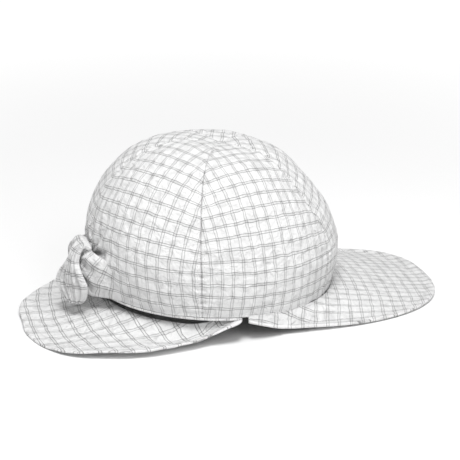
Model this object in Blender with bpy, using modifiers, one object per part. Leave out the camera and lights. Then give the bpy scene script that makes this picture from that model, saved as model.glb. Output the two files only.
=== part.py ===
# A soft sun cap: five crown panels, a stiffened front brim, a neck flap and a tie knotted at the back.
# Metres. +X points to the front of the brim, +Y to the wearer's left, +Z up, and the floor is z = 0.
# The surfaces below are worked out about the crown's centre, and one empty shifts every piece so
# that the origin lies under the middle of the whole cap.
import bmesh
import bpy
from math import atan2, cos, hypot, pi, radians, sin, tan
from mathutils import Vector

# Crown
BASE_HALF_LENGTH = 0.101      # lower edge, centre to front
BASE_HALF_WIDTH = 0.0905      # lower edge, centre to side
CROWN_SWELL = 0.0052          # how far the crown bulges past its lower edge
EQUATOR_HEIGHT = 0.0385       # widest level, above the lower edge
CROWN_HEIGHT = 0.1235         # lower edge to the top, before the middle sinks
CROWN_FULLNESS = 2.8          # 2 is an ellipsoid, more is flatter on top
CROWN_SHOULDER = 1.5          # 2 is an ellipsoid, less is more sloping
APEX_SHIFT = 0.013            # the seams meet this far ahead of the dome's middle
APEX_SINK = 0.0055            # and this far below its highest part
REAR_LEAN = 0.0035            # the dome leans back by this much at its top
PANEL_PUFF = 0.0025           # fullness of a panel between its seams
BASE_LIFT = 0.0215            # lower edge above the floor, at the middle
NOSE_DOWN = radians(3.2)      # the lower edge falls toward the front
EQUATOR_LEVEL = 0.28          # share of a seam's length that lies below the widest level
PANEL_ROWS = 13
TIP_LEVEL = 0.993             # panels end here, just short of the point
FRONT_SEAM = radians(36.5)    # the five seams, measured from the front
REAR_SEAM = radians(107.5)
FABRIC = 0.0008
FACET_TURN = radians(7.4)     # one flat of a curved band
GAP = 0.0003                  # between pieces that touch
LAYER_GAP = 0.0005            # between the layers of the brim and the flap
SHEET_ROWS = [0, 0.28, 0.56, 0.80, 1]      # rows of the brim and the flap, crown to hem
ROOT_COLUMNS = 32
FREE_COLUMNS = 18

# Inside and edge
FACET_CLEARANCE = 0.0008      # keeps a flat-sided band clear of a curved wall
TAPE_WIDTH = 0.011
TAPE_THICKNESS = 0.0006
TAPE_TIP_LEVEL = 0.93
TAPE_ROWS = 12
TAPE_START = 0.026            # the tapes start this high, just above the sweatband
SWEATBAND_HEIGHT = 0.024
SWEATBAND_THICKNESS = 0.0011
SWEATBAND_END = radians(146)
CASING_THICKNESS = 0.0022
CASING_START = radians(149)
BINDING_HEIGHT = 0.0040
BINDING_THICKNESS = 0.0014
BINDING_START = radians(90)
BINDING_COLUMNS = 26
LABEL_WIDTH = 0.022
LABEL_HEIGHT = 0.016
LABEL_THICKNESS = 0.0004
LABEL_LIFT = 0.004            # crown edge to the label's lower edge

# Brim
BRIM_REACH = BASE_HALF_LENGTH + 0.093      # centre to the front edge
BRIM_HALF_WIDTH = 0.0885
BRIM_SQUARE_FROM = 0.058      # behind this the side edges run straight back
BRIM_ROUNDNESS = 2.6
BRIM_END = radians(85.5)
BRIM_RISE_FROM = radians(50)  # from here to its ends the edge climbs to the crown
BRIM_LIFT = 1.15              # 1 slopes evenly from the hem to the crown, more sags
BRIM_CREASE = BASE_HALF_LENGTH + 0.006     # the brim flips up about this line
BRIM_SEAM_GAP = 0.0012
STIFFENER_THICKNESS = 0.0009
STIFFENER_REACH = 0.75        # share of the hem that the stiffener fills

# Neck flap
FLAP_REACH = BASE_HALF_LENGTH + 0.061      # centre to the rear edge
FLAP_HALF_WIDTH = 0.101
FLAP_SQUARE_FROM = 0.075
FLAP_ROUNDNESS = 2.3
FLAP_CORNER_DRAW_IN = 0.014   # the side edges close in toward the corners
FLAP_END = radians(92)
FLAP_RISE_FROM = radians(52)
FLAP_LIFT = 2.8
FLAP_CREASE = BASE_HALF_LENGTH + 0.017
FLAP_TUCK = 0.0060            # the flap starts this far inside the crown edge
FLAP_DROP = 0.0015            # and this far below it
HEM_WIDTH = 0.011             # flat hem that rests on the floor
CREASE_GAP = 0.0008           # each side of a fold line
LEAST_WIDTH = 0.004           # of a sheet at its ends
LEAST_SLOPE_RUN = 0.001       # keeps the slope finite where the edge meets the crown

# Tie
STRAP_START = radians(153)
STRAP_END = radians(174.5)
STRAP_WIDTH = 0.027
STRAP_KNOT_WIDTH = 0.012
STRAP_THICKNESS = 0.0012
STRAP_CLEARANCE = 0.0010
STRAP_LIFT = 0.001            # crown edge to the strap's lower edge
STRAP_STAND_OFF = 0.004       # how far the strap stands off the crown at the knot
STRAP_LEVELS = 0.3            # levels from the widest height to the top, for the strap's upper edge
KNOT_SIZE = (0.0115, 0.0175, 0.0175)
KNOT_HEIGHT = 0.0645
KNOT_ASIDE = -0.015           # the knot sits to the right of the middle of the back
KNOT_TURN = radians(8.6)      # the same, as an angle round the crown
CAGE_MARGIN = 1.16            # a subdivided cube shrinks inside its cage
KNOT_CLEARANCE = 0.0012       # crown to knot
TAIL_RISE = 0.0020            # the tails leave this far above the knot
TAIL_THICKNESS = 0.0015
TAIL_TOP_WIDTH = 0.0078
TAIL_END_WIDTH = 0.038
TAIL_ROUNDED_FROM = 0.78      # share of the tail's length where its end starts to round off

SEAMS = [-pi, -REAR_SEAM, -FRONT_SEAM, FRONT_SEAM, REAR_SEAM, pi]

WHITE_CHECK = (0.82, 0.82, 0.82)
LINING_WHITE = (0.86, 0.86, 0.85)
STIFF_WHITE = (0.70, 0.70, 0.68)


def smooth(value):
    value = max(0.0, min(1.0, value))
    return value * value * (3 - 2 * value)


def clearScene():
    for item in list(bpy.data.objects):
        bpy.data.objects.remove(item, do_unlink=True)


def fabricMaterial(name, colour, roughness):
    material = bpy.data.materials.new(name)
    material.use_nodes = True
    shader = material.node_tree.nodes["Principled BSDF"]
    shader.inputs["Base Color"].default_value = (*colour, 1)
    shader.inputs["Roughness"].default_value = roughness
    shader.inputs["Metallic"].default_value = 0
    return material


# Surfaces

def baseRadius(azimuth):
    # Distance from the centre to the crown's lower edge, seen from above.
    return BASE_HALF_LENGTH * BASE_HALF_WIDTH / hypot(BASE_HALF_WIDTH * cos(azimuth),
                                                      BASE_HALF_LENGTH * sin(azimuth))


def baseHeight(x):
    return BASE_LIFT - tan(NOSE_DOWN) * x


def plainCrown(azimuth, level):
    # The crown before the panels puff out. Level runs from 0 at the lower edge to 1 at the top.
    if level < EQUATOR_LEVEL:
        rise = level / EQUATOR_LEVEL
        swell = CROWN_SWELL * (1 - (1 - rise) ** 2)
        shrink = 1
        height = EQUATOR_HEIGHT * rise
    else:
        turn = (level - EQUATOR_LEVEL) / (1 - EQUATOR_LEVEL) * pi / 2
        swell = CROWN_SWELL
        shrink = cos(turn)
        dome = (1 - shrink ** CROWN_FULLNESS) ** (1 / CROWN_SHOULDER)
        height = EQUATOR_HEIGHT + (CROWN_HEIGHT - EQUATOR_HEIGHT) * dome
    x = (BASE_HALF_LENGTH + swell) * shrink * cos(azimuth)
    y = (BASE_HALF_WIDTH + swell) * shrink * sin(azimuth)
    z = baseHeight(x) + height - APEX_SINK * (1 - shrink) ** 3
    x += APEX_SHIFT * (1 - shrink) ** 2 - REAR_LEAN * (height / CROWN_HEIGHT) ** 2
    return Vector((x, y, z))


def puffAt(azimuth, level):
    azimuth = atan2(sin(azimuth), cos(azimuth))
    for start, end in zip(SEAMS, SEAMS[1:]):
        if start <= azimuth <= end:
            share = (azimuth - start) / (end - start)
            return PANEL_PUFF * sin(pi * share) * sin(pi * min(level, 1)) ** 0.7
    return 0


def crownPoint(azimuth, level, outward=0.0):
    step = 0.002
    low = max(level - step, 0)
    high = min(level + step, 1)
    along = plainCrown(azimuth, high) - plainCrown(azimuth, low)
    around = plainCrown(azimuth + step, level) - plainCrown(azimuth - step, level)
    normal = around.cross(along).normalized()
    return plainCrown(azimuth, level) + normal * (puffAt(azimuth, level) + outward)


def levelAbove(height):
    # The level of a point this high above the lower edge, below the widest part.
    return EQUATOR_LEVEL * height / EQUATOR_HEIGHT


def edgeRadius(azimuth, edgeHalfWidth, furthest):
    # Centre to a sheet's outer edge along an azimuth; edgeHalfWidth gives the half width at a reach.
    inside, outside = 0.03, furthest * 1.3
    for _ in range(40):
        middle = (inside + outside) / 2
        if abs(middle * sin(azimuth)) < edgeHalfWidth(middle * cos(azimuth)):
            inside = middle
        else:
            outside = middle
    return inside


def brimHalfWidth(x):
    if x < BRIM_SQUARE_FROM:
        return BRIM_HALF_WIDTH
    share = min((x - BRIM_SQUARE_FROM) / (BRIM_REACH - BRIM_SQUARE_FROM), 1)
    return BRIM_HALF_WIDTH * (1 - share ** BRIM_ROUNDNESS) ** (1 / BRIM_ROUNDNESS)


def flapHalfWidth(x):
    # Here x is measured toward the back.
    if x < FLAP_SQUARE_FROM:
        share = min((FLAP_SQUARE_FROM - x) / FLAP_SQUARE_FROM, 1)
        return FLAP_HALF_WIDTH - FLAP_CORNER_DRAW_IN * share ** 1.6
    share = min((x - FLAP_SQUARE_FROM) / (FLAP_REACH - FLAP_SQUARE_FROM), 1)
    return FLAP_HALF_WIDTH * (1 - share ** FLAP_ROUNDNESS) ** (1 / FLAP_ROUNDNESS)


def brimInner(azimuth):
    return baseRadius(azimuth) + BRIM_SEAM_GAP


def flapInner(azimuth):
    return baseRadius(azimuth) - FLAP_TUCK


BRIM_LAYERS = FABRIC * 2 + STIFFENER_THICKNESS + LAYER_GAP * 2
FLAP_LAYERS = FABRIC * 2 + LAYER_GAP


def sheetHeight(x, y, inner, outer, innerHeight, edgeHeight, lift):
    # A sheet's middle height: flat along the hem, then curving up to the crown's edge.
    width = outer - inner
    hem = min(HEM_WIDTH, width * 0.5)
    share = (outer - hypot(x, y) - hem) / (width - hem)
    return edgeHeight + (innerHeight - edgeHeight) * max(0.0, share) ** lift


def brimHeight(x, y):
    azimuth = abs(atan2(y, x))
    inner = brimInner(azimuth)
    outer = max(edgeRadius(azimuth, brimHalfWidth, BRIM_REACH), inner + LEAST_SLOPE_RUN)
    innerHeight = baseHeight(inner * cos(azimuth))
    rise = smooth((azimuth - BRIM_RISE_FROM) / (BRIM_END - BRIM_RISE_FROM))
    floor = BRIM_LAYERS / 2
    edgeHeight = floor + (innerHeight - floor) * rise
    return sheetHeight(x, y, inner, outer, innerHeight, edgeHeight, BRIM_LIFT)


def flapHeight(x, y):
    # Here x is measured toward the back.
    azimuth = abs(atan2(y, x))
    inner = flapInner(azimuth)
    outer = max(edgeRadius(azimuth, flapHalfWidth, FLAP_REACH), inner + LEAST_SLOPE_RUN)
    innerHeight = baseHeight(-inner * cos(azimuth)) - FLAP_DROP
    rise = smooth((azimuth - FLAP_RISE_FROM) / (FLAP_END - FLAP_RISE_FROM))
    floor = FLAP_LAYERS / 2
    corner = innerHeight - BINDING_HEIGHT - FABRIC
    edgeHeight = floor + (corner - floor) * rise
    return sheetHeight(x, y, inner, outer, innerHeight, edgeHeight, FLAP_LIFT)


# Builders

def addObject(name, mesh, collection, material):
    piece = bpy.data.objects.new(name, mesh)
    collection.objects.link(piece)
    piece.parent = collection.objects["cap_frame"]
    mesh.materials.append(material)
    return piece


def moveOrigin(piece, origin):
    # Puts the object's origin on its joint without moving its surface.
    for vertex in piece.data.vertices:
        vertex.co -= Vector(origin)
    piece.location = origin


def sheet(name, pointAt, columns, rows, thickness, collection, material, offset=-1.0):
    # An open grid of pointAt(u, v), both from 0 to 1, thickened into a closed sheet.
    points = [pointAt(i / columns, j / rows) for j in range(rows + 1) for i in range(columns + 1)]
    faces = []
    for j in range(rows):
        for i in range(columns):
            corner = j * (columns + 1) + i
            faces.append((corner, corner + 1, corner + columns + 2, corner + columns + 1))
    mesh = bpy.data.meshes.new(name)
    mesh.from_pydata(points, [], faces)
    mesh.shade_smooth()
    piece = addObject(name, mesh, collection, material)
    thicken = piece.modifiers.new("thickness", "SOLIDIFY")
    thicken.thickness = thickness
    thicken.offset = offset
    thicken.use_even_offset = True
    return piece


def crownPanel(name, start, end, collection, material):
    def pointAt(u, v):
        level = v * TIP_LEVEL
        centre = plainCrown(0, level) + plainCrown(pi, level)
        edge = plainCrown(start, level)
        radius = hypot(edge.x - centre.x / 2, edge.y)
        inset = GAP / 2 / radius
        return crownPoint(start + inset + (end - start - 2 * inset) * u, level)

    columns = round((end - start) / FACET_TURN)
    sheet(name, pointAt, columns, PANEL_ROWS, FABRIC, collection, material)


def seamTape(name, azimuth, collection, material):
    inward = -(FABRIC + FACET_CLEARANCE)
    first = levelAbove(TAPE_START)

    def pointAt(u, v):
        level = first + (TAPE_TIP_LEVEL - first) * v
        edge = plainCrown(azimuth, level)
        radius = hypot(edge.x - APEX_SHIFT, edge.y)
        return crownPoint(azimuth + (u - 0.5) * TAPE_WIDTH / radius, level, inward)

    sheet(name, pointAt, 2, TAPE_ROWS, TAPE_THICKNESS, collection, material)


def band(name, start, end, low, high, outward, thickness, collection, material):
    # A band on the crown's wall between two heights above the lower edge.
    columns = max(2, round((end - start) / FACET_TURN))

    def pointAt(u, v):
        level = levelAbove(low + (high - low) * v)
        return crownPoint(start + (end - start) * u, level, outward)

    return sheet(name, pointAt, columns, 2, thickness, collection, material)


def edgeBinding(collection, material):
    # The bound edge below the rear panels, from one end of the brim round the back to the other.
    start, end = BINDING_START, 2 * pi - BINDING_START

    def pointAt(u, v):
        azimuth = start + (end - start) * u
        radius = baseRadius(azimuth) + GAP
        x, y = radius * cos(azimuth), radius * sin(azimuth)
        return Vector((x, y, baseHeight(x) - GAP - BINDING_HEIGHT * (1 - v)))

    sheet("crown_edge_binding", pointAt, BINDING_COLUMNS, 1, BINDING_THICKNESS, collection, material)


def layeredSheet(name, pointAt, columns, top, thickness, filled, collection, material):
    # One layer of a brim or flap: an open grid of pointAt(u, row), extruded straight down.
    # Every layer uses the same grid, and filled is the share of its last row that it covers.
    points = []
    for row in range(len(SHEET_ROWS)):
        for column in range(columns + 1):
            point = pointAt(column / columns, SHEET_ROWS[row])
            if row == len(SHEET_ROWS) - 1:
                point = pointAt(column / columns, SHEET_ROWS[row - 1]).lerp(point, filled)
            points.append(point + Vector((0, 0, top)))
    form = bmesh.new()
    corners = [form.verts.new(point) for point in points]
    for row in range(len(SHEET_ROWS) - 1):
        for column in range(columns):
            first = row * (columns + 1) + column
            above = first + columns + 1
            form.faces.new([corners[first], corners[first + 1], corners[above + 1], corners[above]])
    grown = bmesh.ops.extrude_face_region(form, geom=form.faces[:], use_keep_orig=True)
    lower = [item for item in grown["geom"] if isinstance(item, bmesh.types.BMVert)]
    bmesh.ops.translate(form, verts=lower, vec=(0, 0, -thickness))
    bmesh.ops.recalc_face_normals(form, faces=form.faces)
    mesh = bpy.data.meshes.new(name)
    form.to_mesh(mesh)
    form.free()
    return addObject(name, mesh, collection, material)


def rootSheet(name, side, top, thickness, filled, collection, material):
    # The part of the brim or flap that stays with the crown, from the seam out to the crease.
    if side > 0:
        heightAt, halfWidth, reach = brimHeight, brimHalfWidth, BRIM_REACH
        innerAt, last, crease = brimInner, BRIM_END, BRIM_CREASE - CREASE_GAP
    else:
        heightAt, halfWidth, reach = flapHeight, flapHalfWidth, FLAP_REACH
        innerAt, last, crease = flapInner, FLAP_END, FLAP_CREASE - CREASE_GAP
    corner = atan2(halfWidth(crease), crease)

    def pointAt(u, share):
        # Half of the columns lie between the crease's corners and the rest beyond them.
        turn = abs(2 * u - 1)
        azimuth = corner * turn * 2 if turn < 0.5 else corner + (last - corner) * (turn * 2 - 1)
        inner = innerAt(azimuth)
        outer = min(edgeRadius(azimuth, halfWidth, reach), crease / max(cos(azimuth), 0.001))
        radius = inner + (max(outer, inner + LEAST_WIDTH) - inner) * share
        x, y = radius * cos(azimuth), radius * sin(azimuth) * (1 if u > 0.5 else -1)
        return Vector((x * side, y, heightAt(x, y)))

    return layeredSheet(name, pointAt, ROOT_COLUMNS, top, thickness, filled, collection, material)


def freeSheet(name, side, top, thickness, filled, axis, collection, material):
    # The part of the brim or flap beyond the crease, which folds about the axis.
    if side > 0:
        heightAt, halfWidth, reach, square = brimHeight, brimHalfWidth, BRIM_REACH, BRIM_SQUARE_FROM
        roundness, fullWidth, crease = BRIM_ROUNDNESS, BRIM_HALF_WIDTH, BRIM_CREASE + CREASE_GAP
    else:
        heightAt, halfWidth, reach, square = flapHeight, flapHalfWidth, FLAP_REACH, FLAP_SQUARE_FROM
        roundness, fullWidth, crease = FLAP_ROUNDNESS, FLAP_HALF_WIDTH, FLAP_CREASE + CREASE_GAP
    widest = halfWidth(crease + LEAST_WIDTH)
    skipped = 0 if filled == 1 else 1
    count = FREE_COLUMNS - 2 * skipped

    def pointAt(u, share):
        spread = (skipped + count * u) / FREE_COLUMNS
        y = widest * sin((spread - 0.5) * pi)
        edge = square + (reach - square) * (1 - (abs(y) / fullWidth) ** roundness) ** (1 / roundness)
        x = crease + (edge - crease) * share
        return Vector((x * side, y, heightAt(x, y)))

    piece = layeredSheet(name, pointAt, count, top, thickness, filled, collection, material)
    moveOrigin(piece, axis)
    return piece


def tieStrap(name, side, collection, material):
    # From the crown's lower band to the knot, narrowing as it climbs.
    def pointAt(u, v):
        azimuth = STRAP_START + (STRAP_END + side * KNOT_TURN - STRAP_START) * v
        width = STRAP_WIDTH + (STRAP_KNOT_WIDTH - STRAP_WIDTH) * smooth(v)
        centre = STRAP_WIDTH / 2 + STRAP_LIFT
        centre += (KNOT_HEIGHT - baseHeight(-BASE_HALF_LENGTH) - centre) * smooth(v)
        height = centre + (u - 0.5) * width * side
        level = levelAbove(min(height, EQUATOR_HEIGHT))
        if height > EQUATOR_HEIGHT:
            above = (height - EQUATOR_HEIGHT) / (CROWN_HEIGHT - EQUATOR_HEIGHT)
            level += above * STRAP_LEVELS
        outward = STRAP_CLEARANCE + STRAP_THICKNESS + STRAP_STAND_OFF * v * v
        return crownPoint(side * azimuth, level, outward)

    sheet(name, pointAt, 4, 8, STRAP_THICKNESS, collection, material)


def tieKnot(centre, collection, material):
    bpy.ops.mesh.primitive_cube_add(size=1, location=centre)
    knot = bpy.context.object
    knot.name = knot.data.name = "tie_knot"
    for vertex in knot.data.vertices:
        vertex.co = Vector(vertex.co[axis] * KNOT_SIZE[axis] * CAGE_MARGIN for axis in range(3))
    for owner in list(knot.users_collection):
        owner.objects.unlink(knot)
    collection.objects.link(knot)
    knot.parent = collection.objects["cap_frame"]
    knot.data.materials.append(material)
    knot.data.shade_smooth()
    rounding = knot.modifiers.new("rounding", "SUBSURF")
    rounding.levels = rounding.render_levels = 2


def tieTail(name, route, widthStart, widthEnd, collection, material):
    # A strap end that leaves the top of the knot, folds over it and widens to a rounded end.
    points = [Vector(point) for point in route]
    spans = len(points) - 1

    def along(v):
        place = min(v * spans, spans - 1e-6)
        index = int(place)
        share = place - index
        before = points[max(index - 1, 0)]
        first, second = points[index], points[index + 1]
        after = points[min(index + 2, spans)]
        return 0.5 * ((2 * first) + (second - before) * share
                      + (2 * before - 5 * first + 4 * second - after) * share ** 2
                      + (3 * first - before - 3 * second + after) * share ** 3)

    def pointAt(u, v):
        width = TAIL_TOP_WIDTH + (TAIL_END_WIDTH - TAIL_TOP_WIDTH) * smooth(v * 1.25 - 0.15)
        rounded = max(0.0, (v - TAIL_ROUNDED_FROM) / (1 - TAIL_ROUNDED_FROM))
        width *= (1 - 0.8 * rounded ** 2.6)
        across = (Vector(widthStart) * (1 - v) + Vector(widthEnd) * v).normalized()
        return along(v) + across * (u - 0.5) * width

    piece = sheet(name, pointAt, 4, 13, TAIL_THICKNESS, collection, material, offset=0)
    moveOrigin(piece, route[0])


def build():
    clearScene()
    cap = bpy.data.collections.new("sun_cap")
    bpy.context.scene.collection.children.link(cap)
    capFrame = bpy.data.objects.new("cap_frame", None)
    capFrame.location.x = (FLAP_REACH - BRIM_REACH) / 2
    cap.objects.link(capFrame)
    check = fabricMaterial("check_cotton", WHITE_CHECK, 0.9)
    lining = fabricMaterial("white_lining", LINING_WHITE, 0.92)
    stiff = fabricMaterial("stiffener_felt", STIFF_WHITE, 0.95)

    crownPanel("crown_panel_front", -FRONT_SEAM, FRONT_SEAM, cap, check)
    crownPanel("crown_panel_side_left", FRONT_SEAM, REAR_SEAM, cap, check)
    crownPanel("crown_panel_side_right", -REAR_SEAM, -FRONT_SEAM, cap, check)
    crownPanel("crown_panel_back_left", REAR_SEAM, pi, cap, check)
    crownPanel("crown_panel_back_right", -pi, -REAR_SEAM, cap, check)

    seamTape("seam_tape_front_left", FRONT_SEAM, cap, lining)
    seamTape("seam_tape_front_right", -FRONT_SEAM, cap, lining)
    seamTape("seam_tape_rear_left", REAR_SEAM, cap, lining)
    seamTape("seam_tape_rear_right", -REAR_SEAM, cap, lining)
    seamTape("seam_tape_center_back", pi, cap, lining)

    inside = -(FABRIC + FACET_CLEARANCE)
    band("sweatband", -SWEATBAND_END, SWEATBAND_END, GAP, SWEATBAND_HEIGHT, inside,
         SWEATBAND_THICKNESS, cap, lining)
    band("rear_tie_casing", CASING_START, 2 * pi - CASING_START, GAP, SWEATBAND_HEIGHT, inside,
         CASING_THICKNESS, cap, lining)
    labelTurn = LABEL_WIDTH / BASE_HALF_LENGTH
    band("care_label", -pi / 2 - labelTurn / 2, -pi / 2 + labelTurn / 2, LABEL_LIFT,
         LABEL_LIFT + LABEL_HEIGHT, inside - SWEATBAND_THICKNESS - FACET_CLEARANCE,
         LABEL_THICKNESS, cap, lining)
    edgeBinding(cap, check)

    brimAxis = (BRIM_CREASE, 0, brimHeight(BRIM_CREASE, 0) + BRIM_LAYERS / 2 + GAP)
    flapAxis = (-FLAP_CREASE, 0, 0)
    topFace = BRIM_LAYERS / 2
    coreFace = topFace - FABRIC - LAYER_GAP
    underFace = coreFace - STIFFENER_THICKNESS - LAYER_GAP
    layers = [("brim_top_cover", topFace, FABRIC, 1, check),
              ("brim_stiffener", coreFace, STIFFENER_THICKNESS, STIFFENER_REACH, stiff),
              ("brim_under_cover", underFace, FABRIC, 1, check)]
    for name, top, thickness, filled, material in layers:
        rootSheet(name + "_root", 1, top, thickness, filled, cap, material)
        freeSheet(name + "_front", 1, top, thickness, filled, brimAxis, cap, material)
    flapLayers = [("neck_flap_top_layer", FLAP_LAYERS / 2), ("neck_flap_under_layer", -LAYER_GAP / 2)]
    for name, top in flapLayers:
        rootSheet(name + "_root", -1, top, FABRIC, 1, cap, check)
        freeSheet(name + "_rear", -1, top, FABRIC, 1, flapAxis, cap, check)

    wallAtKnot = (BASE_HALF_LENGTH + CROWN_SWELL) * cos(KNOT_TURN)
    knotX = -(wallAtKnot + KNOT_CLEARANCE + KNOT_SIZE[0] / 2)
    tieStrap("tie_strap_left", 1, cap, check)
    tieStrap("tie_strap_right", -1, cap, check)
    tieKnot((knotX, KNOT_ASIDE, KNOT_HEIGHT), cap, check)
    top = Vector((knotX, KNOT_ASIDE, KNOT_HEIGHT + KNOT_SIZE[2] / 2 + TAIL_RISE))
    rightRoute = [top + Vector(step) for step in [
        (0, -0.0045, 0), (-0.0065, -0.0045, -0.0010), (-0.0105, -0.0045, -0.0085),
        (-0.0125, -0.0040, -0.0180), (-0.0128, -0.0020, -0.0285), (-0.0130, 0.0000, -0.0385),
        (-0.0115, -0.0015, -0.0485), (-0.0098, -0.0035, -0.0570)]]
    leftRoute = [top + Vector(step) for step in [
        (0, 0.0045, 0), (-0.0065, 0.0075, -0.0020), (-0.0095, 0.0150, -0.0110), (-0.0085, 0.0240, -0.0220),
        (-0.0060, 0.0310, -0.0320), (-0.0025, 0.0345, -0.0410), (0, 0.0360, -0.0490)]]
    tieTail("tie_tail_right", rightRoute, (0, 1, 0), (-0.60, 0.79, -0.10), cap, check)
    tieTail("tie_tail_left", leftRoute, (0, 1, 0), (0.45, 0.89, 0.0), cap, check)


build()
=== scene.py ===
import bmesh
import bpy
from math import asin, atan2, cos, hypot, pi, radians, sin, sqrt, tan
from mathutils import Matrix, Vector, noise


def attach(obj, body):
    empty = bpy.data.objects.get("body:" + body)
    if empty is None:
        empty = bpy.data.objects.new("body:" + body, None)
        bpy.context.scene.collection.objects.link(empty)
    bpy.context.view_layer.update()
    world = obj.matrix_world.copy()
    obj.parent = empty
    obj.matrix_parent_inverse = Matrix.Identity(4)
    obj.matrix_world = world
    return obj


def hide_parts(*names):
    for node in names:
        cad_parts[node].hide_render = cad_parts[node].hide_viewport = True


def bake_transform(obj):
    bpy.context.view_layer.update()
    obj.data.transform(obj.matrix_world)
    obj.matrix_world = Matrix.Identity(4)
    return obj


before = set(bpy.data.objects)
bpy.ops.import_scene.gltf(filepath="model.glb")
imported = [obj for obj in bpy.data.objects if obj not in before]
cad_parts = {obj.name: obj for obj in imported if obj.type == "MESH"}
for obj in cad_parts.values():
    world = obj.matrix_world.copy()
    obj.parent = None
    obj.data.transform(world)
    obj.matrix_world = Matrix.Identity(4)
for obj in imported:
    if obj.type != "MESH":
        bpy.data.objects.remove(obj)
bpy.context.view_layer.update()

# The cap is drawn about the middle of its crown, which lies this far from the frame's origin.
capShift = Vector((-0.016, 0, 0))
crown = dict(halfLength=0.101, halfWidth=0.0905, swell=0.0052, equator=0.0385, height=0.1235,
             fullness=2.8, shoulder=1.5, apexShift=0.013, apexSink=0.0055, lean=0.0045, puff=0.0025,
              crest=0.0034, browDent=0.0042,
             lift=0.0215, noseDown=radians(3.2), equatorLevel=0.28, frontSeam=radians(36.5),
             rearSeam=radians(107.5), cloth=0.0008)
seams = [-pi, -crown["rearSeam"], -crown["frontSeam"], crown["frontSeam"], crown["rearSeam"], pi]


def ease(value):
    value = max(0.0, min(1.0, value))
    return value * value * (3 - 2 * value)


def mix(first, second, share):
    return first + (second - first) * share


def edgeRadius(azimuth):
    return crown["halfLength"] * crown["halfWidth"] / hypot(
        crown["halfWidth"] * cos(azimuth), crown["halfLength"] * sin(azimuth))


def edgeHeight(x):
    return crown["lift"] - tan(crown["noseDown"]) * x


def plainCrown(azimuth, level):
    # Level runs from 0 at the lower edge to 1 where the seams meet.
    if level < crown["equatorLevel"]:
        rise = level / crown["equatorLevel"]
        swell, shrink, height = crown["swell"] * (1 - (1 - rise) ** 2), 1, crown["equator"] * rise
    else:
        turn = (level - crown["equatorLevel"]) / (1 - crown["equatorLevel"]) * pi / 2
        swell, shrink = crown["swell"], cos(turn)
        dome = (1 - max(shrink, 0) ** crown["fullness"]) ** (1 / crown["shoulder"])
        height = crown["equator"] + (crown["height"] - crown["equator"]) * dome
    x = (crown["halfLength"] + swell) * shrink * cos(azimuth)
    y = (crown["halfWidth"] + swell) * shrink * sin(azimuth)
    z = edgeHeight(x) + height - crown["apexSink"] * (1 - shrink) ** 3
    x += crown["apexShift"] * (1 - shrink) ** 2 - crown["lean"] * (height / crown["height"]) ** 2
    z += crown["crest"] * 2.718 ** (-((x + 0.026) ** 2 + y * y) / 0.030 ** 2)
    x -= crown["browDent"] * 2.718 ** (-((z - 0.110) / 0.022) ** 2) * max(cos(azimuth), 0)
    return Vector((x, y, z))


def crownNormal(azimuth, level):
    low, high = max(level - 0.002, 0), min(level + 0.002, 0.999)
    along = plainCrown(azimuth, high) - plainCrown(azimuth, low)
    around = plainCrown(azimuth + 0.002, level) - plainCrown(azimuth - 0.002, level)
    return around.cross(along).normalized()


def panelShare(azimuth):
    # Which panel an azimuth lies on, and how far across it, from 0 to 1.
    azimuth = atan2(sin(azimuth), cos(azimuth))
    for index in range(len(seams) - 1):
        if azimuth <= seams[index + 1]:
            return index, (azimuth - seams[index]) / (seams[index + 1] - seams[index])
    return len(seams) - 2, 1.0


def crownPoint(azimuth, level, outward=0.0):
    index, share = panelShare(azimuth)
    puff = crown["puff"] * sin(pi * min(max(share, 0), 1)) * sin(pi * min(level, 1)) ** 0.7
    return plainCrown(azimuth, level) + crownNormal(azimuth, level) * (puff + outward)


def levelAt(height):
    # The level of a point this high above the lower edge, measured up the wall.
    if height <= crown["equator"]:
        return crown["equatorLevel"] * height / crown["equator"]
    return crown["equatorLevel"] + (height - crown["equator"]) * 3.55


# Materials

class Signal:
    # A shader socket that adds its own Math nodes when it is used in an expression.
    def __init__(self, tree, socket):
        self.tree = tree
        self.socket = socket

    def node(self, kind, settings=None, **values):
        added = self.tree.nodes.new(kind)
        for name, setting in (settings or {}).items():
            if name == "stops":
                for element, (place, tone) in zip(added.color_ramp.elements, setting):
                    element.position = place
                    element.color = (tone, tone, tone, 1)
            else:
                setattr(added, name, setting)
        for name, value in values.items():
            socket = added.inputs[int(name[1:])] if name[0] == "i" and name[1:].isdigit() else \
                added.inputs[name.replace("_", " ")]
            if isinstance(value, Signal):
                self.tree.links.new(value.socket, socket)
            else:
                socket.default_value = value
        return added

    def math(self, operation, *values):
        numbered = {"i" + str(place): value for place, value in enumerate(values)}
        return Signal(self.tree, self.node("ShaderNodeMath", {"operation": operation}, **numbered).outputs[0])

    def __add__(self, other):
        return self.math("ADD", self, other)

    __radd__ = __add__

    def __sub__(self, other):
        return self.math("SUBTRACT", self, other)

    def __rsub__(self, other):
        return self.math("SUBTRACT", other, self)

    def __mul__(self, other):
        return self.math("MULTIPLY", self, other)

    __rmul__ = __mul__

    def __truediv__(self, other):
        return self.math("DIVIDE", self, other)

    def wave(self):
        return self.math("SINE", self)

    def wrapped(self):
        return self.math("FRACT", self)

    def size(self):
        return self.math("ABSOLUTE", self)

    def band(self, inner, outer):
        # 1 below inner, falling smoothly to 0 at outer.
        limits = self.node("ShaderNodeMapRange", {"interpolation_type": "SMOOTHSTEP"}, Value=self,
                           From_Min=inner, From_Max=outer, To_Min=1.0, To_Max=0.0)
        return Signal(self.tree, limits.outputs[0])


def newMaterial(name, roughness, sheen):
    material = bpy.data.materials.new(name)
    material.use_nodes = True
    shader = material.node_tree.nodes["Principled BSDF"]
    shader.inputs["Roughness"].default_value = roughness
    shader.inputs["Sheen Weight"].default_value = sheen
    shader.inputs["Sheen Roughness"].default_value = 0.5
    shader.inputs["Specular IOR Level"].default_value = 0.25
    return material, shader, Signal(material.node_tree, None)


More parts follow.
